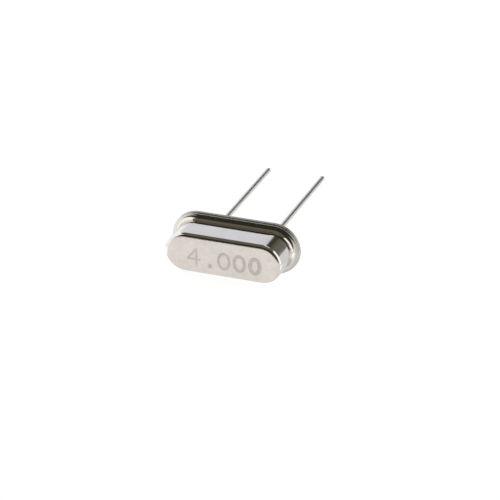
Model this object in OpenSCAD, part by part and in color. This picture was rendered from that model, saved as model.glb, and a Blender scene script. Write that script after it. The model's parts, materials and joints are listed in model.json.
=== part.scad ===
// Quartz crystal in a low welded metal can with two wire leads, lying on one broad side.
//
// Each piece is drawn upright: X runs along the can, Y across it, and Z from the board
// seat at z = 0 up to the can's top, with the leads going down. lie() then turns the
// crystal onto the side on which it rests, on its flange and on the can's top edge.

/* [Can] */
// Length of the can over its end walls
can_length = 9.98; // [9.4:0.01:10.4]
// Width of the can over its broad sides
can_width = 3.38; // [3.1:0.01:3.8]
// Height of the can's top above the board seat
can_height = 3.4; // [3:0.05:4.3]
// Thickness of the can's sheet
can_wall = 0.2; // [0.12:0.01:0.24]
// Outer radius of the can's top edge
can_top_radius = 0.3; // [0.1:0.01:0.5]
// How far the can's own flange stands out from its wall
can_flange_reach = 0.45; // [0.38:0.01:0.6]
// Radius of the outer bend from the can's wall into its flange
can_flange_bend = 0.36; // [0.2:0.01:0.42]
// Radius of the edges of the can's flange
can_flange_edge = 0.04; // [0.02:0.01:0.08]

/* [Base] */
// How far the base's flange stands out from the can's wall
base_flange_reach = 0.51; // [0.4:0.01:0.65]
// Thickness of the base's flange
base_flange_thickness = 0.32; // [0.22:0.01:0.42]
// Radius of the edges of the base's flange
base_edge_radius = 0.05; // [0.02:0.01:0.09]
// Height of the raised middle of the base above its flange
base_step_height = 0.5; // [0.3:0.01:0.65]
// Gap between the base's raised middle and the can's wall
base_step_gap = 0.14; // [0.06:0.01:0.2]

/* [Leads] */
// Distance between the axes of the two leads
lead_pitch = 4.88; // [4.6:0.01:5.1]
// Diameter of a lead's tinned length
lead_diameter = 0.43; // [0.36:0.01:0.5]
// Thickness of the tin on a lead
lead_tin = 0.01; // [0.005:0.005:0.02]
// Length of bare wire between the board seat and the tin
lead_bare = 0.3; // [0.05:0.05:0.6]
// Length of a lead below the board seat
lead_length = 13.6; // [3:0.1:28]
// Height of a lead's inner end above the base
lead_stub = 0.24; // [0.1:0.01:0.35]
// Radius of the rim of a lead's cut end
lead_tip_radius = 0.06; // [0.02:0.01:0.1]

/* [Glass seals] */
// Diameter of the glass around each lead
seal_diameter = 1.3; // [1:0.01:1.6]
// Depth of the hollow in the faces of the glass
seal_dip = 0.06; // [0.02:0.01:0.1]

/* [Crystal mount] */
// Thickness of the clips' sheet
clip_sheet = 0.1; // [0.06:0.01:0.12]
// Width of a clip
clip_width = 1.1; // [0.8:0.05:1.4]
// Height from a clip's foot up to its shelf
clip_rise = 0.45; // [0.3:0.01:0.55]
// Inner radius of the bends in a clip
clip_bend = 0.06; // [0.03:0.01:0.1]
// Length of the quartz strip's end that lies over a clip's shelf
clip_hold = 0.9; // [0.7:0.05:1.1]
// Height of the stop at the end of a clip's shelf
clip_stop_height = 0.25; // [0.2:0.01:0.35]
// Length of a clip's foot inward of the lead's axis
clip_heel = 0.35; // [0.25:0.01:0.5]

/* [Quartz strip] */
// Gap between an end of the strip and the inside of the can's end wall
blank_end_gap = 0.82; // [0.72:0.01:1]
// Gap between a side of the strip and the inside of the can's broad side
blank_side_gap = 0.58; // [0.45:0.01:0.7]
// Thickness of the strip
blank_thickness = 0.21; // [0.15:0.01:0.3]
// Thickness of each metal film on the strip
film_thickness = 0.02; // [0.01:0.01:0.03]
// Length of the middle area of a film
film_length = 4.4; // [3:0.1:4.8]
// Width of the strip's bare margin along each side of a film
film_margin = 0.26; // [0.15:0.01:0.4]
// Width of the narrow tail that joins a film to its clip
film_tail_width = 0.6; // [0.4:0.05:0.8]

/* [Adhesive] */
// Radius of each spot of adhesive
spot_radius = 0.38; // [0.3:0.01:0.42]
// Thickness of the adhesive under the strip
spot_bed = 0.05; // [0.04:0.01:0.08]
// Height of the adhesive's dome above the strip
spot_cover = 0.12; // [0.1:0.01:0.18]
// Distance that a spot of adhesive reaches past the strip's end
spot_lap = 0.08; // [0.05:0.01:0.12]

/* [Hidden] */
$fn = 64;
SIDES = [-1, 1];
CUT = 1;

// Half the straight length shared by the can, the flanges and the raised middle.
straight_half = (can_length - can_width) / 2;
wall_radius = can_width / 2;
inner_radius = wall_radius - can_wall;
inner_top_radius = max(can_top_radius - can_wall, 0.03);
can_edge_radius = min(can_flange_edge, 0.45 * can_wall);
can_flange_radius = wall_radius + can_flange_reach;
can_flange_top = base_flange_thickness + can_wall;
outer_bend = min(can_flange_bend, can_flange_reach - can_edge_radius);
inner_bend = outer_bend + can_wall;

base_radius = wall_radius + base_flange_reach;
base_top = base_flange_thickness + base_step_height;
step_radius = inner_radius - base_step_gap;

lead_radius = lead_diameter / 2;
wire_radius = lead_radius - lead_tin;
lead_top = base_top + lead_stub;
seal_radius = seal_diameter / 2;
seal_lip = 0.02;

blank_length = can_length - 2 * (can_wall + blank_end_gap);
blank_width = can_width - 2 * (can_wall + blank_side_gap);
blank_half = blank_length / 2;
stop_x = blank_half + spot_lap + clip_bend;
riser_x = blank_half - clip_hold;
shelf_top = lead_top + clip_sheet + clip_rise;
blank_bottom = shelf_top + spot_bed;
blank_top = blank_bottom + blank_thickness;
spot_x = blank_half + spot_lap - spot_radius;
spot_height = spot_bed + blank_thickness + spot_cover;
spot_dome = 2 * spot_radius;

// Tilt at which a flange's rounded edge and the can's rounded top edge touch one plane.
function edge_tilt(radius, top, edge) =
  let (dy = radius - edge - (wall_radius - can_top_radius))
  let (dz = can_height - can_top_radius - (top - edge))
  atan2(dy, dz) - asin((can_top_radius - edge) / norm([dy, dz]));

// The crystal lies on the flange that lifts it more.
base_tilt = edge_tilt(base_radius, base_flange_thickness, base_edge_radius);
can_tilt = edge_tilt(can_flange_radius, can_flange_top, can_edge_radius);
rest_tilt = max(base_tilt, can_tilt);

CAN_COLOR = [0.78, 0.76, 0.73];
BASE_COLOR = [0.66, 0.64, 0.6];
LEAD_COLOR = [0.55, 0.54, 0.51];
GLASS_COLOR = [0.16, 0.22, 0.2];
CLIP_COLOR = [0.72, 0.7, 0.62];
QUARTZ_COLOR = [0.86, 0.9, 0.92, 0.5];
FILM_COLOR = [0.9, 0.9, 0.88];
ADHESIVE_COLOR = [0.5, 0.48, 0.45];

// Turns an upright piece onto the side on which the crystal lies.
module lie() {
  rotate([90 + rest_tilt, 0, 0]) children();
}

// Solid with the can's long round-ended plan, from one half section beside the Y axis.
module round_ended() {
  for (turn = [0, 180])
    rotate([0, 0, turn]) translate([straight_half, 0, 0])
      rotate([0, 0, -90]) rotate_extrude(angle = 180) children();
  rotate([90, 0, 90]) translate([0, 0, -straight_half]) linear_extrude(2 * straight_half) {
    children();
    mirror([1, 0]) children();
  }
}

// Half section of a plate that starts at the axis, with a rounded outer edge.
module plate_section(radius, low, high, edge, round_low = true) {
  low_edge = round_low ? edge : 0;
  translate([0, low]) square([radius - edge, high - low]);
  translate([0, low + low_edge]) square([radius, high - low - edge - low_edge]);
  translate([radius - edge, high - edge]) circle(edge);
  if (round_low) translate([radius - edge, low + edge]) circle(edge);
}

// Fills the corner at the origin, up and outward, with a hollow quarter bend.
module corner_fill(bend) {
  difference() {
    square(bend);
    translate([bend, bend]) circle(bend);
  }
}

// Outer half section of the drawn can: wall, rounded top, bend and flange.
module can_outer_section() {
  low = base_flange_thickness;
  plate_section(wall_radius, low, can_height, can_top_radius, false);
  plate_section(can_flange_radius, low, can_flange_top, can_edge_radius);
  translate([wall_radius, can_flange_top]) corner_fill(outer_bend);
}

// Hollow half section of the can, which flares out at its mouth as the bent sheet does.
module can_inner_section() {
  low = base_flange_thickness;
  plate_section(inner_radius, low - CUT, can_height - can_wall, inner_top_radius, false);
  translate([inner_radius, low]) corner_fill(inner_bend);
}

module can() {
  color(CAN_COLOR) lie() round_ended() difference() {
    can_outer_section();
    can_inner_section();
  }
}

// Header: a thin flange around a thicker middle that the glass-sealed leads pass through.
module base() {
  color(BASE_COLOR) lie() difference() {
    round_ended() {
      plate_section(base_radius, 0, base_flange_thickness, base_edge_radius);
      plate_section(step_radius, base_edge_radius, base_top, base_edge_radius, false);
    }
    for (side = SIDES)
      translate([side * lead_pitch / 2, 0, -CUT]) cylinder(r = seal_radius, h = base_top + 2 * CUT);
  }
}

// Circle that hollows one face of the glass, resting on the face's two edges.
module dip_circle() {
  chord = (seal_radius - wire_radius) / 2 - seal_lip;
  dip_radius = (chord * chord + seal_dip * seal_dip) / (2 * seal_dip);
  translate([(seal_radius + wire_radius) / 2, dip_radius - seal_dip]) circle(dip_radius);
}

module glass_seal(side) {
  color(GLASS_COLOR) lie() translate([side * lead_pitch / 2, 0, 0]) rotate_extrude() difference() {
    translate([wire_radius, 0]) square([seal_radius - wire_radius, base_top]);
    translate([0, base_top]) dip_circle();
    mirror([0, 1]) dip_circle();
  }
}

// Round wire through the glass, tinned from just below the seat to its rounded tip.
module lead(side) {
  tin_length = lead_length - lead_bare;
  core = lead_radius - lead_tip_radius;
  color(LEAD_COLOR) lie() translate([side * lead_pitch / 2, 0, 0]) rotate_extrude() {
    translate([0, -lead_length + lead_tip_radius]) square([lead_radius, tin_length - lead_tip_radius]);
    translate([0, -lead_length]) square([core, tin_length]);
    translate([core, -lead_length + lead_tip_radius]) circle(lead_tip_radius);
    translate([0, -lead_bare]) square([wire_radius, lead_bare + lead_top]);
  }
}

// Quarter ring of clip sheet around the origin, in the quadrant given by the two signs.
module clip_corner(right, up) {
  reach = clip_bend + clip_sheet;
  scale_x = right ? 0 : -reach;
  scale_y = up ? 0 : -reach;
  intersection() {
    difference() {
      circle(reach);
      circle(clip_bend);
    }
    translate([scale_x, scale_y]) square(reach);
  }
}

// Side view of the right clip: foot, riser, shelf and stop, joined by bends.
module clip_section() {
  reach = clip_bend + clip_sheet;
  foot_x = lead_pitch / 2 - clip_heel;
  shelf_low = shelf_top - clip_sheet;
  stop_top = shelf_top + clip_stop_height;
  translate([foot_x, lead_top]) square([riser_x - clip_bend - foot_x, clip_sheet]);
  translate([riser_x - clip_bend, lead_top + reach]) clip_corner(true, false);
  translate([riser_x, lead_top + reach]) square([clip_sheet, shelf_low - clip_bend - lead_top - reach]);
  translate([riser_x + reach, shelf_low - clip_bend]) clip_corner(false, true);
  translate([riser_x + reach, shelf_low]) square([stop_x - clip_bend - riser_x - reach, clip_sheet]);
  translate([stop_x - clip_bend, shelf_low + reach]) clip_corner(true, false);
  translate([stop_x, shelf_low + reach]) square([clip_sheet, stop_top - shelf_low - reach]);
}

module clip(side) {
  color(CLIP_COLOR) lie() mirror([side < 0 ? 1 : 0, 0, 0])
    rotate([90, 0, 0]) translate([0, 0, -clip_width / 2]) linear_extrude(clip_width) clip_section();
}

module quartz_solid() {
  translate([-blank_half, -blank_width / 2, blank_bottom])
    cube([blank_length, blank_width, blank_thickness]);
}

// One metal film: a middle area and a tail that runs out to the strip's end on one side.
module film(side, low) {
  film_width = blank_width - 2 * film_margin;
  translate([0, 0, low]) linear_extrude(film_thickness) {
    translate([-film_length / 2, -film_width / 2]) square([film_length, film_width]);
    translate([side < 0 ? -blank_half : 0, -film_tail_width / 2]) square([blank_half, film_tail_width]);
  }
}

module upper_film() {
  film(-1, blank_top);
}

module lower_film() {
  film(1, blank_bottom - film_thickness);
}

module quartz_blank() {
  color(QUARTZ_COLOR) lie() quartz_solid();
}

module upper_electrode() {
  color(FILM_COLOR) lie() upper_film();
}

module lower_electrode() {
  color(FILM_COLOR) lie() lower_film();
}

// Spot of conductive adhesive that wraps an end of the strip and bonds it to the shelf.
module adhesive(side) {
  color(ADHESIVE_COLOR) lie() difference() {
    translate([side * spot_x, 0, shelf_top]) intersection() {
      cylinder(r = spot_radius, h = spot_height);
      translate([0, 0, spot_height - spot_dome]) sphere(spot_dome);
    }
    quartz_solid();
    upper_film();
    lower_film();
  }
}

can();
base();
glass_seal(-1);  // glass_seal_left
glass_seal(1);  // glass_seal_right
lead(-1);  // lead_left
lead(1);  // lead_right
clip(-1);  // clip_left
clip(1);  // clip_right
quartz_blank();
upper_electrode();
lower_electrode();
adhesive(-1);  // adhesive_left
adhesive(1);  // adhesive_right
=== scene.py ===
"""Looks of a quartz crystal in a low metal can, lying on its side on a white table.

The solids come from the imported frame. This script adds their finishes, the marking on the can's
top, the table, the light and the camera. Everything is in metres, in the row frame. Sizes that are
easier to read in millimetres are written in millimetres, in the can's own upright frame: x along
the can, y across it, z from the board seat up to the can's top.
"""

import json
import math

import bmesh
import bpy
from mathutils import Matrix, Vector


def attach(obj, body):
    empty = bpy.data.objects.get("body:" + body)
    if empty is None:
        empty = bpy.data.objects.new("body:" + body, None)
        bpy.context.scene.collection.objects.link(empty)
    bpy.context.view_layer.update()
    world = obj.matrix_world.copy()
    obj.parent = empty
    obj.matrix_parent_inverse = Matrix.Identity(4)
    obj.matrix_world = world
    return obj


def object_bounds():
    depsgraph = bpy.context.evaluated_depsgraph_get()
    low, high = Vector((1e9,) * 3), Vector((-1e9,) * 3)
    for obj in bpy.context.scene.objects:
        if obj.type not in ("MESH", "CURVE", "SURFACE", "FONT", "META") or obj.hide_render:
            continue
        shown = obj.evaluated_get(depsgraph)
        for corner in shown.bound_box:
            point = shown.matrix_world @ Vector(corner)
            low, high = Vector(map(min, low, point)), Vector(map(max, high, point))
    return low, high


MM = 0.001

# Camera: where it stands in the row frame, in degrees, with its roll, how far away it is, and how
# far the board seat is from the middle of the view
CAMERA_BEARING = 19.977
CAMERA_HEIGHT = 17.21
CAMERA_ROLL = 3.087
CAMERA_DISTANCE = 225 * MM
VIEW_RIGHT = 1.0214 * MM
VIEW_DOWN = 0.7223 * MM
PIXELS_PER_MM = 12.33
IMAGE_SIDE = 500
SENSOR = 36.0
NEAREST = 10 * MM
FARTHEST = 10

# Colours of the light
NEUTRAL = (1.0, 0.99, 0.97)
COOL = (0.97, 1.0, 1.07)
OLIVE = (1.0, 0.95, 0.66)
SMOKE = (1.0, 0.97, 0.83)

# The room round the table by bearing, in degrees: 0 behind the object, positive to the right.
# Each stop is a bearing, a brightness and a colour. There is a long white panel on the left,
# whose last stretch is dimmer and cooler, a brighter one on the right, a dark gap between them
# behind the object, and the dark side where the camera stands.
ROOM = [
    (-180, 0.03, OLIVE),
    (-152, 0.03, OLIVE),
    (-145.5, 0.1, OLIVE),
    (-142, 1.12, NEUTRAL),
    (-135, 1.19, NEUTRAL),
    (-36, 1.2, NEUTRAL),
    (-32.5, 0.84, COOL),
    (-12, 0.76, COOL),
    (-4, 0.06, OLIVE),
    (8, 0.05, OLIVE),
    (13, 0.09, OLIVE),
    (26, 0.15, SMOKE),
    (34, 0.16, SMOKE),
    (36.5, 1.35, NEUTRAL),
    (97, 1.3, NEUTRAL),
    (116, 0.1, OLIVE),
    (140, 0.04, OLIVE),
    (180, 0.03, OLIVE),
]
# Height of the panels' top edge by bearing, both in degrees, with the ceiling above it
PANEL_TOPS = [
    (-150, 40),
    (-120, 52),
    (-90, 57),
    (-60, 52),
    (-30, 41),
    (-20, 41),
    (-8, 48),
    (20, 48),
    (40, 42),
    (60, 52),
    (90, 50),
    (110, 45),
]
EDGE_SOFTNESS = 2.0
CEILING = (0.13, 0.12, 0.09)

# The lit far side of the table, low down behind the object: its colour, the heights in degrees
# over which it fades, and how far back a direction points where it begins and where it is full
HORIZON = (0.78, 0.805, 0.84)
HORIZON_TOP = (9.0, 13.0)
HORIZON_BACK = (0.1, 0.5)

# A lamp above the dark gap: bearing and height of its middle, and the radii between which it
# fades, all in degrees
LAMP_PLACE = (3.0, 57.0)
LAMP_RADIUS = (8.0, 13.0)
LAMP = (1.1, 1.08, 1.06)

# Table: the share of light that it scatters, and its own brightness to the camera and in metal.
# Metal mirrors only the lit part round the object, which is warmer in front and cooler behind.
# That part ends at a distance from the point under the seat, and at a slanted edge in front. In
# it, a brighter patch lies beside each end of the can, from a distance to another along x, with
# slanted edges in front and behind. A slanted edge is a direction across it, and the distances
# along that direction between which the light changes.
# The table's glow in metal is painted light: a painted pool of light round the object, warmer in
# front and cooler behind, with brighter painted pools beside the can's ends
TABLE_SIDE = 1.6
TABLE_COLOUR = (0.35, 0.35, 0.35)
TABLE_SEEN = 0.87
TABLE_FRONT = (0.708, 0.683, 0.668)
TABLE_BACK = (0.56, 0.59, 0.63)
TABLE_TURN = (-4 * MM, 4 * MM)
TABLE_ENDS = (1.12, 1.11, 1.09)
TABLE_ENDS_FROM = (6 * MM, 7.5 * MM)
TABLE_ENDS_TO = (11.5 * MM, 9 * MM)
TABLE_ENDS_EDGES = [
    ((-0.33, 1, 0), (-6.0 * MM, -5.2 * MM)),
    ((-0.12, 1, 0), (2.6 * MM, 1.4 * MM)),
]
TABLE_LIT = (12.5 * MM, 14.5 * MM)
TABLE_LIT_FRONT = ((0.27, 1, 0), (-11.2 * MM, -12.0 * MM))

# A noise runs from 0 to 1, and its patches go from dark to light over this range
NOISE_RANGE = (0.3, 0.7)
COARSE_DETAIL = 4
FINE_DETAIL = 3
# A fine grain makes a surface unevenly rough, from this share of the given roughness upwards and
# about as given on average
LEAST_ROUGH = 0.5

# Faint patches in the metal's finish: their size in mm and how much their brightness differs
PATCH_SIZE = 1.1
PATCH_SPREAD = 0.03
# Finer mottling and small stains on the can's top: sizes in mm, and how much darker they are
MOTTLE_SIZE = 0.28
MOTTLE_SPREAD = 0.025
SPOT_SPACING = 1.3
SPOT_EDGE = (0.07, 0.12)
SPOT_SHADE = 0.09
# How far below the can's top its satin begins and is full, in mm
TOP_EDGE = (0.03, 0.002)
# Height up to which the flanges' sides are the sheared edge of the sheet, and its fade, in mm
RIM_TOP = 0.52
RIM_FADE = 0.05
# How far up or down a face may look to be part of that edge, and how far up to be the welded ring,
# which is darkened with painted shade
RIM_FACING = (0.9, 0.6)
WELD_SHADE_FACING = (0.8, 0.95)

# Marking on the can's top, in mm. The 4's bar and stem are placed by shares of the digit's height
# and width, and its hole begins so many strokes below the top and right of the left end.
DIGIT_HEIGHT = 1.6
DIGIT_WIDTH = 1.16
DIGIT_PITCH = 1.33
DIGIT_MIDDLE = -0.22
ZERO_STROKES = (0.24, 0.29, 0.35)
FIRST_ZERO_X = 0.15
POINT_X = -1.06
POINT_DIAMETER = 0.38
FOUR_X = -2.45
FOUR_STROKE = 0.18
FOUR_BAR = 0.32
FOUR_STEM = 0.2
FOUR_HOLE_TOP = 1.8
FOUR_HOLE_LEFT = 1.2
MARK_THICKNESS = 0.004
MARK_STEPS = 96
# Its metal: the specks where it has rubbed off, and the grain
WEAR_SIZE = 0.3
WEAR_ROUGHNESS = 0.7
WEAR_EDGE = (0.4, 0.62)
WEAR_IN_SPECKS = 0.4
MARK_GRAIN = 0.08
MARK_GRAIN_DEPTH = 0.003
MARK_ROUGHNESS = 0.3
MARK_ROUGHNESS_SPREAD = 0.2

# Sealing glass: clouds, and bubbles by the distance from a bubble's middle, with sizes in mm
CLOUDS_PER_MM = 2
CLOUD_RANGE = (0.35, 0.7)
BUBBLES_PER_MM = 6
BUBBLE_EDGE = (0.25, 0.1)
BUBBLE_HEIGHT = 0.003
GLASS_IOR = 1.5
GLASS_COAT_ROUGHNESS = 0.02

# Quartz: the lapped grain, with its depth in mm
LAPPED_GRAINS_PER_MM = 30
LAPPED_DEPTH = 0.001
QUARTZ_IOR = 1.544

# Adhesive: flakes, picked by a mix of their random colours, how metallic they are and how much
# smoother than the paste, and lumps, with their height in mm
FLAKES_PER_MM = 60
FLAKE_PICK = (0.4, 0.3, 0.3)
FLAKE_RANGE = (0.45, 0.75)
FLAKE_METAL = 0.8
FLAKE_SMOOTHER = 0.25
LUMPS_PER_MM = 8
LUMP_HEIGHT = 0.02

# Finishes. Each area of the can has a brightness, a roughness and a grain depth in mm.
NICKEL = (0.765, 0.74, 0.705)
CAN_ROUGHNESS = 0.06
BASE_ROUGHNESS = 0.08
GRAIN = 0.1
GRAIN_DEPTH = 0.0006
# The can's top is satin, and its brightness above 1 is painted light that makes the top lighter
# than the metal
SATIN_PAINTED_LIGHTER = (1.085, 0.3, 0.003)
SHEARED = (0.68, 0.42, 0.004)
# The welded ring is duller, and its darker brightness is painted shade
WELD_RING_PAINTED_SHADE = (0.84, 0.14, 0.002)
MARKED = (0.595, 0.568, 0.512)
BARE = (0.80, 0.775, 0.74)
FOUR_WEAR = 0.17
TIN = (0.72, 0.70, 0.66)
TIN_FINISH = {"roughness": 0.22, "grain": 0.06, "depth": 0.002}
CLIP_SHEET = (0.76, 0.71, 0.6)
CLIP_FINISH = {"roughness": 0.2, "grain": 0.06, "depth": 0.0015}
SILVER = (0.93, 0.92, 0.89)
SILVER_FINISH = {"roughness": 0.16, "grain": 0.05, "depth": 0.0008}
GLASS_DARK = (0.012, 0.03, 0.026)
GLASS_LIGHT = (0.03, 0.06, 0.05)
GLASS_ROUGHNESS = 0.08
QUARTZ = (0.93, 0.96, 0.97)
QUARTZ_ROUGHNESS = 0.14
PASTE_DARK = (0.34, 0.33, 0.31)
PASTE_LIGHT = (0.75, 0.74, 0.71)
PASTE_ROUGHNESS = 0.6

# Degrees from one side to the other, and from level to straight up
HALF_TURN = 180
UPRIGHT = 90


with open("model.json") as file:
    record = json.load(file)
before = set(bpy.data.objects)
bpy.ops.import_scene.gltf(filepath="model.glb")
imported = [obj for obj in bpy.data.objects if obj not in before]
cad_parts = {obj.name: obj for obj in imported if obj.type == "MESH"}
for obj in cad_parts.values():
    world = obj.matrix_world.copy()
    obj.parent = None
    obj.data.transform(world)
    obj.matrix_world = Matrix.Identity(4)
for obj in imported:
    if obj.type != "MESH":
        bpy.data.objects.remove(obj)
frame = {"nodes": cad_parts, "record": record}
cad_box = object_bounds()
nodes = frame["nodes"]

# The can's own frame: the leads leave the board seat along the seat's axis
seat = next(m for m in frame["record"]["mounts"] if m["name"] == "board_seat")
SEAT = Vector(seat["pos_m"])
UP = -Vector(seat["axis"]).normalized()
ALONG = Vector((1, 0, 0))
ACROSS = UP.cross(ALONG).normalized()


def to_row(x, y, z):
    """A point of the can's own frame, in mm, as a point of the row frame, in metres."""
    return SEAT + (ALONG * x + ACROSS * y + UP * z) * MM


def height_of(node):
    """Highest point of a node along the can's own z, in mm."""
    return max((v.co - SEAT).dot(UP) for v in nodes[node].data.vertices) / MM


CAN_TOP = height_of("can")


# ---------------------------------------------------------------- node helpers


class Nodes:
    """Short ways to write a shader's nodes."""

    def __init__(self, owner):
        owner.use_nodes = True
        self.tree = owner.node_tree
        self.tree.nodes.clear()

    def put(self, socket, value):
        if isinstance(value, bpy.types.NodeSocket):
            self.tree.links.new(value, socket)
        elif socket.type == "RGBA" and hasattr(value, "__len__"):
            socket.default_value = (*value[:3], 1)
        else:
            socket.default_value = value

    def new(self, kind, **inputs):
        node = self.tree.nodes.new(kind)
        for name, value in inputs.items():
            self.put(node.inputs[name.replace("_", " ")], value)
        return node

    def math(self, operation, *values):
        node = self.tree.nodes.new("ShaderNodeMath")
        node.operation = operation
        for socket, value in zip(node.inputs, values):
            self.put(socket, value)
        return node.outputs[0]

    def between(self, share, first, second):
        """first where the share is 0, second where it is 1."""
        return self.math("MULTIPLY_ADD", share, self.math("SUBTRACT", second, first), first)

    def grey(self, value):
        return self.new("ShaderNodeCombineColor", Red=value, Green=value, Blue=value).outputs[0]

    def dot(self, vector, direction):
        node = self.tree.nodes.new("ShaderNodeVectorMath")
        node.operation = "DOT_PRODUCT"
        self.put(node.inputs[0], vector)
        node.inputs[1].default_value = direction
        return node.outputs["Value"]

    def rise(self, value, low, high):
        """0 below low, 1 above high and smooth between, or 1 to 0 where low is above high."""
        node = self.new("ShaderNodeMapRange", Value=value)
        node.interpolation_type = "SMOOTHSTEP"
        if low < high:
            node.inputs["From Min"].default_value = low
            node.inputs["From Max"].default_value = high
            return node.outputs["Result"]
        node.inputs["From Min"].default_value = high
        node.inputs["From Max"].default_value = low
        node.inputs["To Min"].default_value = 1
        node.inputs["To Max"].default_value = 0
        return node.outputs["Result"]

    def mix(self, factor, a, b, way="MIX"):
        node = self.tree.nodes.new("ShaderNodeMix")
        node.data_type = "RGBA"
        node.blend_type = way
        colours = [s for s in node.inputs if s.type == "RGBA"]
        self.put(node.inputs["Factor"], factor)
        self.put(colours[0], a)
        self.put(colours[1], b)
        return next(s for s in node.outputs if s.type == "RGBA")

    def ramp(self, value, stops):
        """A colour that goes through the stops, each a place from 0 to 1 and a colour."""
        node = self.new("ShaderNodeValToRGB", Fac=value)
        elements = node.color_ramp.elements
        elements.remove(elements[-1])
        for number, (place, colour) in enumerate(stops):
            element = elements[0] if number == 0 else elements.new(place)
            element.position = place
            element.color = (*colour, 1)
        return node.outputs["Color"]

    def noise(self, vector, scale, detail, roughness=0.5):
        node = self.new(
            "ShaderNodeTexNoise", Vector=vector, Scale=scale, Detail=detail, Roughness=roughness
        )
        return node.outputs["Fac"]

    def cells(self, vector, scale):
        """Random cells, one around each point."""
        return self.new("ShaderNodeTexVoronoi", Vector=vector, Scale=scale).outputs

    def bump(self, height):
        """The normal of a surface with a height on it, in mm."""
        node = self.new("ShaderNodeBump", Height=height, Strength=1.0, Distance=MM)
        return node.outputs["Normal"]

    def join(self, kind, first, second, factor=None):
        """Two shaders added, or mixed by a factor."""
        node = self.tree.nodes.new(kind)
        shaders = [s for s in node.inputs if s.type == "SHADER"]
        self.put(shaders[0], first)
        self.put(shaders[1], second)
        if factor is not None:
            self.put(node.inputs["Fac"], factor)
        return node.outputs[0]

    def finish(self, surface, kind="ShaderNodeOutputMaterial"):
        self.new(kind, Surface=surface)


def scaled(colour, factor):
    return tuple(factor * c for c in colour)


# ---------------------------------------------------------------- camera


def make_camera():
    bearing = math.radians(CAMERA_BEARING)
    height = math.radians(CAMERA_HEIGHT)
    level = math.cos(height)
    back = Vector((math.sin(bearing) * level, -math.cos(bearing) * level, math.sin(height)))
    roll = Matrix.Rotation(math.radians(CAMERA_ROLL), 3, "Z").to_quaternion()
    turn = back.to_track_quat("Z", "Y") @ roll
    right = turn @ Vector((1, 0, 0))
    up = turn @ Vector((0, 1, 0))
    data = bpy.data.cameras.new("camera")
    camera = bpy.data.objects.new("camera", data)
    bpy.context.scene.collection.objects.link(camera)
    camera.rotation_mode = "QUATERNION"
    camera.rotation_quaternion = turn
    camera.location = SEAT + right * VIEW_RIGHT - up * VIEW_DOWN + back * CAMERA_DISTANCE
    data.sensor_width = SENSOR
    data.lens = SENSOR * PIXELS_PER_MM * CAMERA_DISTANCE / MM / IMAGE_SIDE
    data.clip_start = NEAREST
    data.clip_end = FARTHEST
    bpy.context.scene.camera = camera


# ---------------------------------------------------------------- light


def on_circle(degrees):
    """A bearing from -180 to 180 as a place from 0 to 1."""
    return degrees / (2 * HALF_TURN) + 0.5


def direction_of(bearing, height):
    bearing, height = math.radians(bearing), math.radians(height)
    level = math.cos(height)
    return (math.sin(bearing) * level, math.cos(bearing) * level, math.sin(height))


def make_light():
    world = bpy.data.worlds.new("studio")
    bpy.context.scene.world = world
    n = Nodes(world)
    direction = n.new("ShaderNodeTexCoord").outputs["Generated"]
    x, y, z = (n.dot(direction, axis) for axis in ((1, 0, 0), (0, 1, 0), (0, 0, 1)))
    place = n.math("MULTIPLY_ADD", n.math("ARCTAN2", x, y), 0.5 / math.pi, 0.5)
    height = n.math("MULTIPLY", n.math("ARCSINE", z), HALF_TURN / math.pi)

    panels = n.ramp(place, [(on_circle(b), scaled(tint, level)) for b, level, tint in ROOM])
    tops = n.ramp(place, [(on_circle(b), (top / UPRIGHT,) * 3) for b, top in PANEL_TOPS])
    above = n.math("SUBTRACT", height, n.math("MULTIPLY", tops, UPRIGHT))
    room = n.mix(n.rise(above, -EDGE_SOFTNESS, EDGE_SOFTNESS), panels, CEILING)

    low = n.rise(height, *reversed(HORIZON_TOP))
    low_behind = n.math("MULTIPLY", n.rise(y, *HORIZON_BACK), low)
    room = n.mix(low_behind, room, HORIZON, "LIGHTEN")

    off_lamp = n.math("ARCCOSINE", n.dot(direction, direction_of(*LAMP_PLACE)))
    off_lamp = n.math("MULTIPLY", off_lamp, HALF_TURN / math.pi)
    room = n.mix(n.rise(off_lamp, *reversed(LAMP_RADIUS)), room, LAMP, "LIGHTEN")

    light = n.new("ShaderNodeBackground", Color=room, Strength=1.0).outputs[0]
    white = n.new("ShaderNodeBackground", Color=(1, 1, 1), Strength=1.0).outputs[0]
    to_camera = n.new("ShaderNodeLightPath").outputs["Is Camera Ray"]
    n.finish(n.join("ShaderNodeMixShader", light, white, to_camera), "ShaderNodeOutputWorld")


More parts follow.
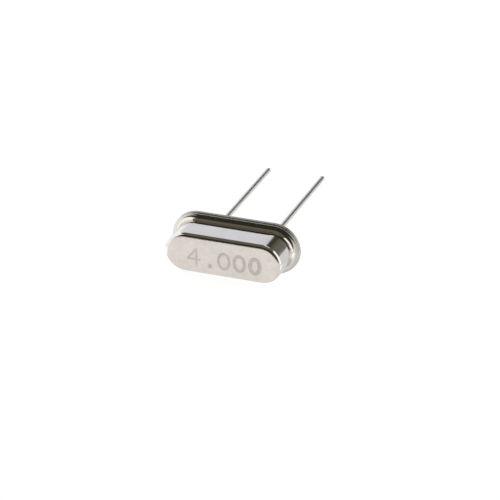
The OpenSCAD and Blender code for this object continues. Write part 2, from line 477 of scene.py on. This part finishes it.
def make_table():
    bpy.ops.mesh.primitive_plane_add(size=TABLE_SIDE, location=(0, 0, cad_box[0].z))
    table = bpy.context.object
    table.name = "table"
    material = bpy.data.materials.new("table_white")
    n = Nodes(material)
    diffuse = n.new("ShaderNodeBsdfDiffuse", Color=TABLE_COLOUR).outputs[0]
    place = n.new("ShaderNodeTexCoord").outputs["Object"]
    # Painted light: the table's glow in metal, a pool of light round the object with brighter
    # pools beside the can's ends
    tint = n.mix(n.rise(n.dot(place, (0, 1, 0)), *TABLE_TURN), TABLE_FRONT, TABLE_BACK)
    off_middle = n.math("ABSOLUTE", n.dot(place, (1, 0, 0)))
    inner = n.rise(off_middle, *TABLE_ENDS_FROM)
    outer = n.rise(off_middle, *TABLE_ENDS_TO)
    beside = n.math("MULTIPLY", inner, outer)
    for across, limits in TABLE_ENDS_EDGES:
        beside = n.math("MULTIPLY", beside, n.rise(n.dot(place, across), *limits))
    tint = n.mix(beside, tint, TABLE_ENDS)
    mirrored = n.new("ShaderNodeEmission", Color=tint, Strength=1.0).outputs[0]
    seen = n.new("ShaderNodeEmission", Color=(1, 1, 1), Strength=TABLE_SEEN).outputs[0]
    path = n.new("ShaderNodeLightPath").outputs
    glow = n.join("ShaderNodeMixShader", mirrored, seen, path["Is Camera Ray"])
    surface = n.join("ShaderNodeAddShader", diffuse, glow)
    distance = n.new("ShaderNodeVectorMath")
    distance.operation = "LENGTH"
    n.put(distance.inputs[0], place)
    across, limits = TABLE_LIT_FRONT
    far = n.rise(distance.outputs["Value"], *TABLE_LIT)
    in_front = n.rise(n.dot(place, across), *limits)
    unlit = n.math("MULTIPLY", n.math("MAXIMUM", far, in_front), path["Is Glossy Ray"])
    nothing = n.new("ShaderNodeBsdfTransparent").outputs[0]
    n.finish(n.join("ShaderNodeMixShader", surface, nothing, unlit))
    table.data.materials.append(material)


# ---------------------------------------------------------------- finishes


def metal(
    name, colour, roughness, grain=GRAIN, depth=GRAIN_DEPTH, top=None, rim=None, weld_ring_and_shade=None
):
    """A metal with faint patches of another brightness and a fine uneven grain, sizes in mm.

    The values for the top, the rim and the welded ring, if given, are the brightness, roughness
    and grain depth of the can's flat top, painted lighter than the metal as painted light, of the
    flanges' sheared edges, and of the dull ring that welding leaves on the flange, darkened with
    painted shade.
    """
    material = bpy.data.materials.new(name)
    n = Nodes(material)
    place = n.new("ShaderNodeTexCoord").outputs["Object"]
    upward = n.dot(n.new("ShaderNodeTexCoord").outputs["Normal"], UP)
    level = n.math("MULTIPLY", n.math("SUBTRACT", n.dot(place, UP), SEAT.dot(UP)), 1 / MM)
    patches = n.rise(n.noise(place, 1 / (PATCH_SIZE * MM), COARSE_DETAIL), *NOISE_RANGE)
    fine = n.noise(place, 1 / (grain * MM), FINE_DETAIL)
    shade = n.math("MULTIPLY_ADD", patches, 2 * PATCH_SPREAD, 1 - PATCH_SPREAD)
    rough = n.math("MULTIPLY_ADD", fine, roughness, LEAST_ROUGH * roughness)
    grit = depth
    areas = []
    if top:
        flat = n.rise(level, *(CAN_TOP - below for below in TOP_EDGE))
        areas.append((flat, top))
        spots = n.cells(place, 1 / (SPOT_SPACING * MM))["Distance"]
        mottle = n.rise(n.noise(place, 1 / (MOTTLE_SIZE * MM), FINE_DETAIL), *NOISE_RANGE)
        mottle = n.math("MULTIPLY_ADD", mottle, 2 * MOTTLE_SPREAD, 1 - MOTTLE_SPREAD)
        mottle = n.math("MULTIPLY_ADD", n.rise(spots, *reversed(SPOT_EDGE)), -SPOT_SHADE, mottle)
        shade = n.math("MULTIPLY", shade, n.between(flat, 1, mottle))
    low = n.rise(level, RIM_TOP + RIM_FADE, RIM_TOP)
    if rim:
        sides = n.rise(n.math("ABSOLUTE", upward), *RIM_FACING)
        areas.append((n.math("MULTIPLY", sides, low), rim))
    # The welded ring on the flange: a dull ring darkened with painted shade
    if weld_ring_and_shade:
        areas.append((n.math("MULTIPLY", n.rise(upward, *WELD_SHADE_FACING), low), weld_ring_and_shade))
    # Each area's brightness multiplies the colour: the top's lightening is painted light, the
    # welded ring's darkening painted shade
    for share, (area_shade, area_rough, area_grit) in areas:
        shade = n.math("MULTIPLY", shade, n.between(share, 1, area_shade))
        rough = n.between(share, rough, area_rough)
        grit = n.between(share, grit, area_grit)
    surface = n.new(
        "ShaderNodeBsdfPrincipled",
        Base_Color=n.mix(1.0, colour, n.grey(shade), "MULTIPLY"),
        Metallic=1.0,
        Roughness=rough,
        Normal=n.bump(n.math("MULTIPLY", fine, grit)),
    )
    n.finish(surface.outputs[0])
    return material


def worn_marking(name, colour, bare, wear):
    """Dulled metal that has rubbed off in specks; wear is the share of the bare metal in it."""
    material = bpy.data.materials.new(name)
    n = Nodes(material)
    place = n.new("ShaderNodeTexCoord").outputs["Object"]
    specks = n.noise(place, 1 / (WEAR_SIZE * MM), COARSE_DETAIL, roughness=WEAR_ROUGHNESS)
    fine = n.noise(place, 1 / (MARK_GRAIN * MM), FINE_DETAIL)
    rubbed = n.math("MULTIPLY_ADD", n.rise(specks, *WEAR_EDGE), WEAR_IN_SPECKS, wear)
    surface = n.new(
        "ShaderNodeBsdfPrincipled",
        Base_Color=n.mix(rubbed, colour, bare),
        Metallic=1.0,
        Roughness=n.math("MULTIPLY_ADD", fine, MARK_ROUGHNESS_SPREAD, MARK_ROUGHNESS),
        Normal=n.bump(n.math("MULTIPLY", fine, MARK_GRAIN_DEPTH)),
    )
    n.finish(surface.outputs[0])
    return material


def glass(name, dark, light, roughness):
    """Dark sealing glass with faint clouds and a few tiny bubbles under its skin."""
    material = bpy.data.materials.new(name)
    n = Nodes(material)
    place = n.new("ShaderNodeTexCoord").outputs["Object"]
    clouds = n.rise(n.noise(place, CLOUDS_PER_MM / MM, COARSE_DETAIL), *CLOUD_RANGE)
    bubbles = n.rise(n.cells(place, BUBBLES_PER_MM / MM)["Distance"], *BUBBLE_EDGE)
    surface = n.new(
        "ShaderNodeBsdfPrincipled",
        Base_Color=n.mix(clouds, dark, light),
        Roughness=n.math("MULTIPLY_ADD", clouds, roughness, roughness),
        IOR=GLASS_IOR,
        Coat_Weight=1.0,
        Coat_Roughness=GLASS_COAT_ROUGHNESS,
        Normal=n.bump(n.math("MULTIPLY", bubbles, BUBBLE_HEIGHT)),
    )
    n.finish(surface.outputs[0])
    return material


def quartz(name, colour, roughness):
    """Clear crystal whose lapped faces scatter a little light."""
    material = bpy.data.materials.new(name)
    n = Nodes(material)
    place = n.new("ShaderNodeTexCoord").outputs["Object"]
    fine = n.noise(place, LAPPED_GRAINS_PER_MM / MM, FINE_DETAIL)
    surface = n.new(
        "ShaderNodeBsdfPrincipled",
        Base_Color=colour,
        Roughness=n.math("MULTIPLY_ADD", fine, roughness, LEAST_ROUGH * roughness),
        IOR=QUARTZ_IOR,
        Transmission_Weight=1.0,
        Normal=n.bump(n.math("MULTIPLY", fine, LAPPED_DEPTH)),
    )
    n.finish(surface.outputs[0])
    return material


def paste(name, dark, light, roughness):
    """Adhesive filled with metal flakes: a lumpy skin with bright specks in it."""
    material = bpy.data.materials.new(name)
    n = Nodes(material)
    place = n.new("ShaderNodeTexCoord").outputs["Object"]
    flakes = n.cells(place, FLAKES_PER_MM / MM)["Color"]
    bright = n.rise(n.dot(flakes, FLAKE_PICK), *FLAKE_RANGE)
    lumps = n.noise(place, LUMPS_PER_MM / MM, FINE_DETAIL)
    surface = n.new(
        "ShaderNodeBsdfPrincipled",
        Base_Color=n.mix(bright, dark, light),
        Metallic=n.math("MULTIPLY", bright, FLAKE_METAL),
        Roughness=n.math("MULTIPLY_ADD", bright, -FLAKE_SMOOTHER, roughness),
        Normal=n.bump(n.math("MULTIPLY", lumps, LUMP_HEIGHT)),
    )
    n.finish(surface.outputs[0])
    return material


def put_on(material, *names):
    for name in names:
        for slot in nodes[name].material_slots:
            slot.material = material


# ---------------------------------------------------------------- marking


def mark_piece(name, rings, material):
    """A thin plate on the can's top, from its outline and any holes, each a list of x, y in mm."""
    mesh = bpy.data.meshes.new(name)
    shape = bmesh.new()
    top = CAN_TOP + MARK_THICKNESS
    edges = []
    for ring in rings:
        corners = [shape.verts.new(to_row(x, y, top)) for x, y in ring]
        edges += [shape.edges.new((a, b)) for a, b in zip(corners, corners[1:] + corners[:1])]
    bmesh.ops.triangle_fill(shape, edges=edges, use_beauty=True, normal=UP)
    sides = bmesh.ops.extrude_edge_only(shape, edges=edges)
    for corner in (v for v in sides["geom"] if isinstance(v, bmesh.types.BMVert)):
        corner.co -= UP * MARK_THICKNESS * MM
    bmesh.ops.recalc_face_normals(shape, faces=shape.faces)
    shape.to_mesh(mesh)
    shape.free()
    mesh.materials.append(material)
    piece = bpy.data.objects.new(name, mesh)
    bpy.context.scene.collection.objects.link(piece)
    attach(piece, "root")


def oval(x, y, width, height):
    turns = [2 * math.pi * step / MARK_STEPS for step in range(MARK_STEPS)]
    return [(x + width / 2 * math.cos(t), y + height / 2 * math.sin(t)) for t in turns]


def make_marking(material, faint):
    base = DIGIT_MIDDLE - DIGIT_HEIGHT / 2
    top = base + DIGIT_HEIGHT
    point = oval(POINT_X, base + POINT_DIAMETER / 2, POINT_DIAMETER, POINT_DIAMETER)
    mark_piece("marking_point", [point], material)
    for number, stroke in enumerate(ZERO_STROKES):
        x = FIRST_ZERO_X + number * DIGIT_PITCH
        outer = oval(x, DIGIT_MIDDLE, DIGIT_WIDTH, DIGIT_HEIGHT)
        inner = oval(x, DIGIT_MIDDLE, DIGIT_WIDTH - 2 * stroke, DIGIT_HEIGHT - 2 * stroke)
        mark_piece(f"marking_zero_{number + 1}", [outer, inner], material)
    left = FOUR_X - DIGIT_WIDTH / 2
    right = FOUR_X + DIGIT_WIDTH / 2
    stem_left = FOUR_X + FOUR_STEM * DIGIT_WIDTH - FOUR_STROKE / 2
    stem_right = stem_left + FOUR_STROKE
    bar_low = base + FOUR_BAR * DIGIT_HEIGHT
    bar_high = bar_low + FOUR_STROKE
    outline = [
        (stem_left, base),
        (stem_right, base),
        (stem_right, bar_low),
        (right, bar_low),
        (right, bar_high),
        (stem_right, bar_high),
        (stem_right, top),
        (stem_left, top),
        (left, bar_high),
        (left, bar_low),
        (stem_left, bar_low),
    ]
    hole = [
        (stem_left, bar_high),
        (stem_left, top - FOUR_HOLE_TOP * FOUR_STROKE),
        (left + FOUR_HOLE_LEFT * FOUR_STROKE, bar_high),
    ]
    mark_piece("marking_four", [outline, hole], faint)


# ---------------------------------------------------------------- the scene

make_camera()
make_light()
make_table()

# The can's top is painted lighter, as painted light, and the welded ring on its flange darker, as
# painted shade
can_nickel = metal("can_nickel", NICKEL, CAN_ROUGHNESS, top=SATIN_PAINTED_LIGHTER, rim=SHEARED, weld_ring_and_shade=WELD_RING_PAINTED_SHADE)
base_nickel = metal("base_nickel", NICKEL, BASE_ROUGHNESS, rim=SHEARED)
lead_tin = metal("lead_tin", TIN, **TIN_FINISH)
put_on(can_nickel, "can")
put_on(base_nickel, "base")
put_on(lead_tin, "lead_left", "lead_right")

# The parts that the can hides, and the glass under the base
seal_glass = glass("seal_glass", GLASS_DARK, GLASS_LIGHT, GLASS_ROUGHNESS)
clip_metal = metal("clip_sheet", CLIP_SHEET, **CLIP_FINISH)
clear_quartz = quartz("clear_quartz", QUARTZ, QUARTZ_ROUGHNESS)
silver_film = metal("silver_film", SILVER, **SILVER_FINISH)
silver_paste = paste("silver_paste", PASTE_DARK, PASTE_LIGHT, PASTE_ROUGHNESS)
put_on(seal_glass, "glass_seal_left", "glass_seal_right")
put_on(clip_metal, "clip_left", "clip_right")
put_on(clear_quartz, "quartz_blank")
put_on(silver_film, "upper_electrode", "lower_electrode")
put_on(silver_paste, "adhesive_left", "adhesive_right")

marked = worn_marking("marked_nickel", MARKED, BARE, wear=0.0)
faint = worn_marking("worn_marking", MARKED, BARE, wear=FOUR_WEAR)
make_marking(marked, faint)

scene = bpy.context.scene
scene.view_settings.view_transform = "Standard"
